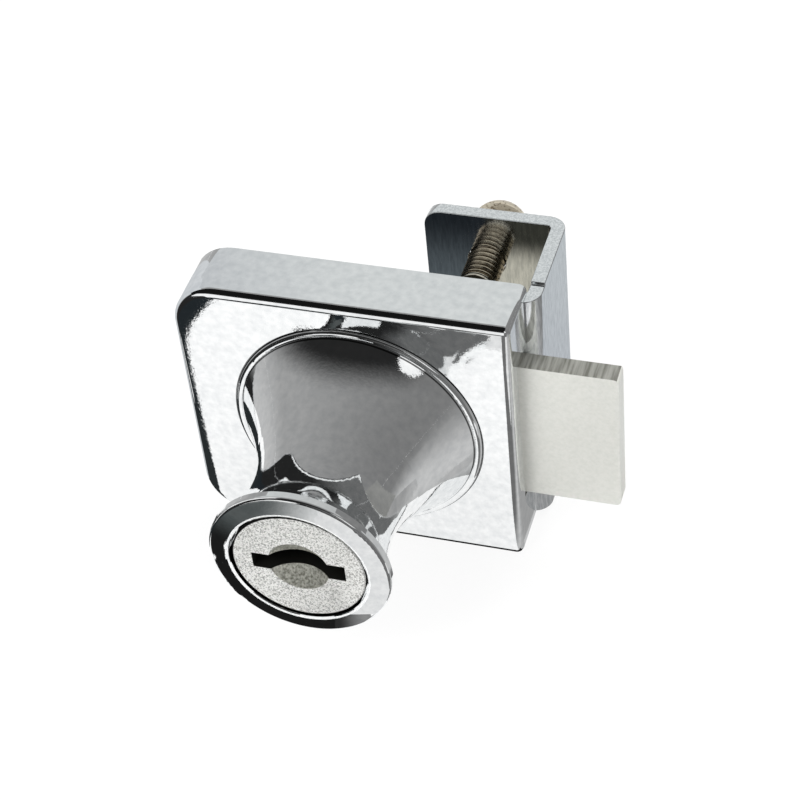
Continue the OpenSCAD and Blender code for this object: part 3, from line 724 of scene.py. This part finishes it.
knob_shadow_paper = card_paper("knob_shadow_paper", "#1D1D1D", "#1D1D1D")
brow_paper = card_paper("brow_paper", "#161616", "#161616", reach=5)
edge_paper = card_paper("edge_paper", "#FFFFFF", "#F9F9F9", reach=2)
wing_paper = card_paper("wing_paper", "#FFFFFF", "#F9F9F9", reach=6)
rim_paper = card_paper("rim_paper", "#CBCECE", "#BFC0C0", "X", -6, 8, reach=6)
corner_paper = card_paper("corner_paper", "#CBCED1", "#D4D7DA", "Z", 8, 20, reach=10)
low_paper = card_paper("low_paper", "#B8B8B8", "#9E9E9E", "Y", -9, -4)
bolt_paper = card_paper("bolt_paper", "#868684", "#90908E", "X", 17, 27, gap=10)
left_paper = card_paper("left_paper", "#24292C", "#2B2F30", "Y", -40, -10)
ring_paper = card_paper("ring_paper", "#505555", "#1D1D1D", "Y", -43, -35)
lip_paper = card_paper("lip_paper", "#1D1D1D", "#1D1D1D", reach=33)
pale_paper = card_paper("pale_paper", "#C4C7CA", "#D7DADA", "X", -26, 0, reach=20)
side_paper = card_paper("side_paper", "#BCC0C5", "#C2C7CA", "Y", 15, 50)
ash_paper = card_paper("ash_paper", "#555959", "#E7E8E8", "X", -23, -2)
grey_paper = card_paper("grey_paper", "#303030", "#8B8B8B", "X", 1.5, 4.8, reach=16)
white_paper = card_paper("white_paper", "#E5E5E5", "#EAEAEA")
blue_pad_reflection = card_paper("blue_pad_reflection", "#52595D", "#1F2327", "Z", -2, 7)
beige_pad_reflection = card_paper("beige_pad_reflection", "#BCB8AA", "#35352F", "Z", 1, 5)
card_z = ground + 0.1
second_z = ground + 0.12
lip_z = ground + 0.14
third_z = ground + 0.15
knob_z = -6
level_sheet("left_card", [(-17.6, -8), (-18.4, -10), (-24, -20), (-29.5, -30), (-31.5, -34), (-31.8, -37),
                          (-31.2, -40), (-30, -43.5), (-24, -46), (-24, -60), (-15, -75), (-46, -120),
                          (-46, -20.3), (-33, -20.3), (-33, -17), (-46, -17), (-46, -4), (-36, -4)],
            card_z, left_paper)
# Painted shadow: the knob's shadow on the floor in front of it, seen in reflections.
level_sheet("knob_shadow_card", [(-19.2, -38.2), (-18.6, -36.5), (-15.5, -33), (-12, -31), (-8, -29.8), (0, -29.5),
                          (2.2, -30.5), (2.2, -33.6), (-4, -32.6), (-9, -33.6), (-13, -36), (-16, -38.6)],
            card_z, knob_shadow_paper)
level_sheet("ring_card", [(-5, -28.8), (-8, -29.6), (-11, -31.5), (-13.2, -34.5), (-14, -38), (-14.6, -42),
                          (-19, -43), (-19, -33), (-13, -32), (-10.2, -30.7), (-9.6, -29), (-7, -27.6),
                          (-5, -27.5)], knob_z, ring_paper)
level_sheet("ring_end_card", [(1, -30.6), (5.5, -30.6), (5.5, -37.5), (1, -37.5)], second_z, grey_paper)
level_sheet("ring_top_card", [(-28, -48), (-17, -48), (3, -56), (3, -80), (-32, -80)],
            second_z, ash_paper)
level_sheet("flange_card", [(-3, -55), (-3, -47), (0, -40), (3, -31), (4.6, -28.7), (12, -28.7), (12, -55)],
            knob_z, white_paper)
level_sheet("boss_card", [(30, -34), (48, -34), (48, -22), (30, -22)], second_z, white_paper)
level_sheet("brow_card", [(-20, -8.8), (17, -8.8), (17, -7.35), (-20, -7.35)], 16.65, brow_paper)
sheet("edge_card", [(-18, -9, 15.45), (17, -9, 15.45), (17, -9, 16.35), (-18, -9, 16.35)], edge_paper)
sheet("rim_card_right", [(12, -27.3, -7), (12, -22, -7), (12, -22, 8), (12, -27.3, 8)], rim_paper)
level_sheet("rim_card_top", [(-9, -27.4), (10, -27.4), (10, -23), (-9, -23)], 12, rim_paper)
sheet("wing_card", [(-9.6, -28.6, 3.5), (-7.8, -28.6, 6.6), (-5.1, -28.6, 8.8), (-1.8, -28.6, 10),
                    (-2.2, -28.6, 12.6), (-6.4, -28.6, 11.1), (-9.8, -28.6, 8.2), (-12, -28.6, 4.4)],
      wing_paper)
sheet("corner_card", [(-22.5, -8.6, -16), (-22.5, 3, -16), (-22.5, 3, 24), (-22.5, -8.6, 24)], corner_paper)
sheet("bolt_card", [(17.1, -5.6, -9), (27.3, -5.6, -9), (27.3, -5.6, 9), (17.1, -5.6, 9)], bolt_paper)
level_sheet("low_card", [(17.4, -8.4), (36, -8.4), (36, 8), (17.4, 8)], third_z, low_paper)
# Painted shadow: the contact shadow under the case's bottom front edge, seen in reflections.
level_sheet("foot_shadow_card", [(-15, -8.55), (17.4, -8.55), (17.4, -7.6), (-15, -7.6)], third_z, brow_paper)
level_sheet("lip_card", [(-4.5, -36.5), (1, -36.5), (1, -44.5), (-4.5, -44.5)], lip_z, lip_paper)
level_sheet("side_card", [(17.4, 8), (40, 8), (40, 80), (17.4, 80)], third_z, side_paper)
# Painted reflection of the pad in the rear leg's inner face, darker towards the top, where the pad is in
# shade.
sheet("pad_card_left", [(-3, 0.4, -4), (7.2, 0.4, -4), (7.2, 0.4, 12), (-3, 0.4, 12)], blue_pad_reflection)
sheet("pad_card_right", [(7.2, 0.4, -4), (15.5, 0.4, -4), (15.5, 0.4, 12), (7.2, 0.4, 12)], beige_pad_reflection)
sheet("top_card", [(-30, 0.5, 16.5), (20, 0.5, 16.5), (20, 0.5, 24.2), (-30, 0.5, 24.2)], pale_paper)
sheet("back_card", [(-2, 13, 16), (20, 13, 16), (20, 13, 30), (9, 13, 30), (9, 13, 21), (-2, 13, 21)],
      pale_paper)

# Lamps: two large soft boxes above the front, one above the back, and even light from the room,
# which looks white where it is seen or mirrored.
world = bpy.data.worlds.new("studio")
bpy.context.scene.world = world
world.use_nodes = True
world.node_tree.nodes.clear()
seen = add_node(world, "LightPath")
glossy = add_node(world, "Math", {0: seen.outputs["Is Camera Ray"], 1: seen.outputs["Is Glossy Ray"]},
                  operation="MAXIMUM")
looked_at = add_node(world, "Math", {0: glossy.outputs[0], 1: seen.outputs["Is Transmission Ray"]},
                     operation="MAXIMUM")
air = add_node(world, "Background", {"Strength": 0.45, "Color": colour("#FFFFFF")})
white = add_node(world, "Background", {"Strength": 1, "Color": colour("#FFFFFF")})
pick = add_node(world, "MixShader", {0: looked_at.outputs[0], 1: air.outputs[0], 2: white.outputs[0]})
add_node(world, "OutputWorld", {"Surface": pick.outputs[0]})


def hang_lamp(name, place, size, power):
    """A square soft box aimed at the lock, which its plating doesn't show."""
    data = bpy.data.lights.new(name, "AREA")
    data.size = size
    data.energy = power
    lamp = bpy.data.objects.new(name, data)
    bpy.context.scene.collection.objects.link(lamp)
    lamp.location = place
    lamp.rotation_euler = (-Vector(place)).to_track_quat("-Z", "Y").to_euler()
    lamp.visible_glossy = False


hang_lamp("key_lamp", (-0.35, -0.45, 0.6), size=0.4, power=4.5)
hang_lamp("fill_lamp", (0.5, -0.3, 0.4), size=0.5, power=2)
hang_lamp("rear_lamp", (0.15, 0.3, 0.6), size=0.5, power=2.5)

# Camera: where the photograph's stood, found from the case's edges and the knob's circles.
# It has a long lens, and it is turned a little about its own axis.
azimuth, elevation, roll = 20.88 * deg, 43.40 * deg, -6.534 * deg
distance = 237.48 * mm
target = Vector((2.204, -1.0, -2.519)) * mm
back = Vector((math.sin(azimuth) * math.cos(elevation), -math.cos(azimuth) * math.cos(elevation),
               math.sin(elevation)))
level = Vector((0, 0, 1)).cross(back).normalized()
upright = back.cross(level)
right = math.cos(roll) * level + math.sin(roll) * upright
camera = bpy.data.objects.new("camera", bpy.data.cameras.new("camera"))
bpy.context.scene.collection.objects.link(camera)
camera.data.lens = 99.54
camera.data.sensor_width = 36
camera.data.clip_start = 0.01
view = Matrix((right, back.cross(right), back)).transposed().to_4x4()
view.translation = target + distance * back
camera.matrix_world = view
bpy.context.scene.camera = camera
bpy.context.scene.view_settings.view_transform = "Standard"
